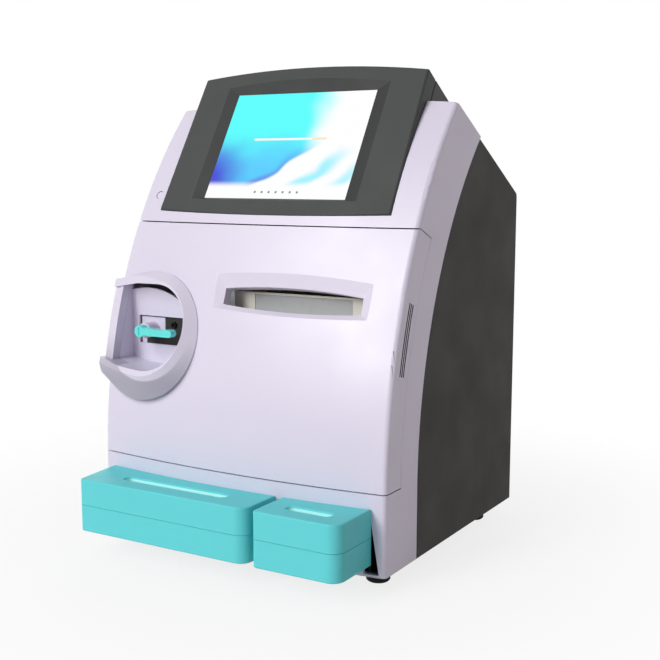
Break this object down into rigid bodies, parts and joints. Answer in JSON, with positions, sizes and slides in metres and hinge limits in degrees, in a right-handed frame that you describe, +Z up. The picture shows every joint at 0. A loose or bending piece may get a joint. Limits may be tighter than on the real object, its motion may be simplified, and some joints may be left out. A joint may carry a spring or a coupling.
{
  "type": "blood gas analyzer",
  "caption": "Benchtop blood gas analyzer with a leaning pale front, tilted monitor, round sampling recess with a lever, printer slot and pull-out reagent packs.",
  "frame": {"origin": "on the table, under the middle of the footprint (drawers included)", "axes": "+Z up, +X to the right as seen by the user, +Y from the front to the back"},
  "size_m": [0.34, 0.373, 0.5016],
  "materials": {
    "pale_plastic": "satin",
    "charcoal_plastic": "fine texture",
    "monitor_plastic": "satin",
    "teal_plastic": "gloss",
    "cream_plastic": "satin",
    "grey_plastic": "satin",
    "black_plastic": "satin",
    "black_rubber": "matte",
    "zinc_steel": "zinc plated",
    "stainless": "polished",
    "alloy": "machined",
    "clear": "clear",
    "screen": "glossy, lit",
    "board_green": "solder mask",
    "paper": "matte paper",
    "bottle": "translucent"
  },
  "bodies": {
    "chassis": {"front_frame": "pale_plastic", "guide_pins": "zinc_steel", "rear_cover": "charcoal_plastic", "rear_panel": "black_plastic", "base_plate": "zinc_steel", "feet": "black_rubber", "foot_screws": "zinc_steel", "bay_tray": "black_plastic", "deck_plate": "zinc_steel", "mounting_bulkhead": "zinc_steel", "monitor_bezel": "monitor_plastic", "monitor_back": "monitor_plastic", "lcd_module": "zinc_steel", "touch_screen": "screen", "monitor_bracket": "zinc_steel", "button_switch": "black_plastic", "sampling_cup": "pale_plastic", "sampler_block": "pale_plastic", "sampler_housing": "charcoal_plastic", "inlet_seal": "black_rubber", "sample_probe": "stainless", "measuring_block": "alloy", "electrodes": "grey_plastic", "chamber_window": "clear", "pump_body": "monitor_plastic", "pump_tube": "clear", "pump_motor": "charcoal_plastic", "valve_block": "alloy", "valve_coils": "charcoal_plastic", "printer_case": "cream_plastic", "paper_cover": "grey_plastic", "print_head": "charcoal_plastic", "roll_spindle": "zinc_steel", "main_board": "board_green", "board_standoffs": "zinc_steel", "data_ports": "zinc_steel", "power_supply": "zinc_steel", "fan_frame": "black_plastic", "power_inlet": "black_plastic", "switch_frame": "black_plastic", "pack_couplers": "stainless", "panel_screws": "zinc_steel"},
    "front_cover": {"front_cover": "pale_plastic", "slot_bezel": "pale_plastic", "cover_bushes": "pale_plastic"},
    "large_pack": {"large_pack_lower": "teal_plastic", "large_pack_upper": "teal_plastic", "reagent_bottles": "bottle"},
    "small_pack": {"small_pack_lower": "teal_plastic", "small_pack_upper": "teal_plastic", "waste_bottle": "bottle"},
    "sampling_lever": {"sampling_lever": "teal_plastic", "lever_shaft": "stainless"},
    "standby_button": {"standby_button": "monitor_plastic"},
    "pump_rotor": {"pump_rotor": "grey_plastic", "pump_rollers": "pale_plastic"},
    "fan_rotor": {"fan_rotor": "black_plastic"},
    "platen": {"platen_roller": "black_rubber"},
    "paper_roll": {"paper_roll": "paper"},
    "power_rocker": {"rocker_switch": "charcoal_plastic"}
  },
  "joints": [
    {"name": "cover_slide", "type": "slide", "parent": "chassis", "child": "front_cover", "axis": [0, -1, 0], "range_m": [0, 0.1]},
    {"name": "large_pack_slide", "type": "slide", "parent": "chassis", "child": "large_pack", "axis": [0, -1, 0], "range_m": [0, 0.17]},
    {"name": "small_pack_slide", "type": "slide", "parent": "chassis", "child": "small_pack", "axis": [0, -1, 0], "range_m": [0, 0.17]},
    {"name": "lever_pivot", "type": "hinge", "parent": "chassis", "child": "sampling_lever", "pos_m": [-0.132, -0.105, 0.2244], "axis": [0, -1, 0], "range_deg": [0, 90]},
    {"name": "standby_press", "type": "slide", "parent": "chassis", "child": "standby_button", "axis": [0, 0.8615, -0.5078], "range_m": [0, 0.0015], "stiffness_N_per_m": 400},
    {"name": "pump_spin", "type": "hinge", "parent": "chassis", "child": "pump_rotor", "pos_m": [-0.102, -0.06, 0.127], "axis": [0, 1, 0], "continuous": true},
    {"name": "fan_spin", "type": "hinge", "parent": "chassis", "child": "fan_rotor", "pos_m": [-0.09, 0.1705, 0.30467], "axis": [0, 1, 0], "continuous": true},
    {"name": "paper_spin", "type": "hinge", "parent": "chassis", "child": "paper_roll", "pos_m": [0.05, -0.0335, 0.233], "axis": [1, 0, 0], "continuous": true},
    {"name": "platen_spin", "type": "hinge", "parent": "chassis", "child": "platen", "pos_m": [0.05, -0.0605, 0.258], "axis": [1, 0, 0], "continuous": true},
    {"name": "power_rock", "type": "hinge", "parent": "chassis", "child": "power_rocker", "pos_m": [-0.078, 0.1775, 0.114], "axis": [1, 0, 0], "range_deg": [0, 20]}
  ],
  "couplings": [
    {"joint": "platen_spin", "follows": "paper_spin", "ratio": 4.6}
  ]
}
